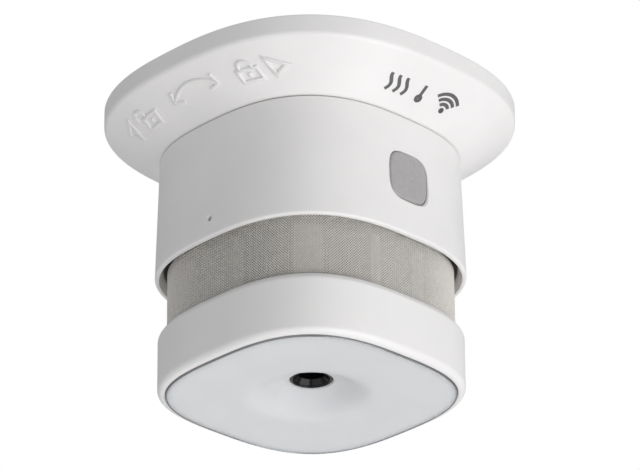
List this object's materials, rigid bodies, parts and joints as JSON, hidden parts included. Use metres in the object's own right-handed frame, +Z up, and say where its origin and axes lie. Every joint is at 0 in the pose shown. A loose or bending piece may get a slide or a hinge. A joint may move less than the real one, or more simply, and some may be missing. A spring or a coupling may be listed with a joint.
{
  "type": "heat and smoke detector",
  "caption": "Compact battery ceiling detector: squircle head with a mesh sensing band, test button and sounder port, bayonet-locked in a flared mounting bracket.",
  "frame": {"origin": "centre of the mounting bracket's ceiling face; the detector hangs below it", "axes": "+Z up into the ceiling, -Y the face with the test button, -X the face with the pairing pinhole"},
  "size_m": [0.06, 0.06, 0.0491],
  "materials": {
    "white_plastic": "fine satin moulded ABS",
    "inner_plastic": "plain moulded ABS",
    "black_plastic": "matt light-absorbing moulding",
    "grey_button": "smooth translucent moulding",
    "frosted_lens": "frosted translucent polycarbonate",
    "chrome_trim": "polished plating",
    "steel_mesh": "fine woven stainless wire",
    "steel": "plain zinc plated",
    "contact_metal": "nickel plated spring brass",
    "copper_wire": "enamelled copper",
    "circuit_board": "solder-masked glass laminate",
    "battery_wrap": "plain shrink sleeve",
    "clear_epoxy": "clear moulded epoxy"
  },
  "bodies": {
    "bracket": {"mounting_bracket": "white_plastic"},
    "head": {"upper_housing": "white_plastic", "back_cover": "inner_plastic", "cover_screw_1": "steel", "cover_screw_2": "steel", "cover_screw_3": "steel", "cover_screw_4": "steel", "battery": "battery_wrap", "battery_contact_positive": "contact_metal", "battery_contact_negative": "contact_metal", "main_board": "circuit_board", "board_screw_1": "steel", "board_screw_2": "steel", "radio_module": "steel", "radio_antenna": "copper_wire", "controller_chip": "black_plastic", "storage_capacitor": "black_plastic", "sounder_transformer": "copper_wire", "switch_board": "circuit_board", "test_switch_body": "black_plastic", "status_led": "clear_epoxy", "pairing_switch_body": "black_plastic", "optical_chamber_base": "black_plastic", "optical_chamber_cover": "black_plastic", "infrared_emitter": "clear_epoxy", "photodiode": "black_plastic", "heat_sensor": "black_plastic", "insect_mesh": "steel_mesh", "mesh_cage": "inner_plastic", "chamber_mount": "black_plastic", "lower_cap": "white_plastic", "trim_ring": "chrome_trim", "diffuser_lens": "frosted_lens", "sounder_port_ring": "black_plastic", "sounder_housing": "black_plastic", "piezo_disc": "contact_metal", "sounder_lead_1": "contact_metal", "sounder_lead_2": "contact_metal"},
    "test_button": {"test_button": "grey_button"},
    "test_plunger": {"test_switch_plunger": "black_plastic"},
    "pairing_plunger": {"pairing_switch_plunger": "inner_plastic"}
  },
  "joints": [
    {"name": "head_twist", "type": "hinge", "parent": "bracket", "child": "head", "pos_m": [0, 0, 0], "axis": [0, 0, -1], "range_deg": [0, 24]},
    {"name": "test_button_press", "type": "slide", "parent": "head", "child": "test_button", "axis": [0, 1, 0], "range_m": [0, 0.0006], "stiffness_N_per_m": 1500, "springref_m": -0.0006},
    {"name": "test_switch_travel", "type": "slide", "parent": "head", "child": "test_plunger", "axis": [0, 1, 0], "range_m": [0, 0.0006]},
    {"name": "pairing_switch_press", "type": "slide", "parent": "head", "child": "pairing_plunger", "axis": [1, 0, 0], "range_m": [0, 0.00025], "stiffness_N_per_m": 1500, "springref_m": -0.0004}
  ],
  "couplings": [
    {"joint": "test_switch_travel", "follows": "test_button_press", "ratio": 1}
  ]
}
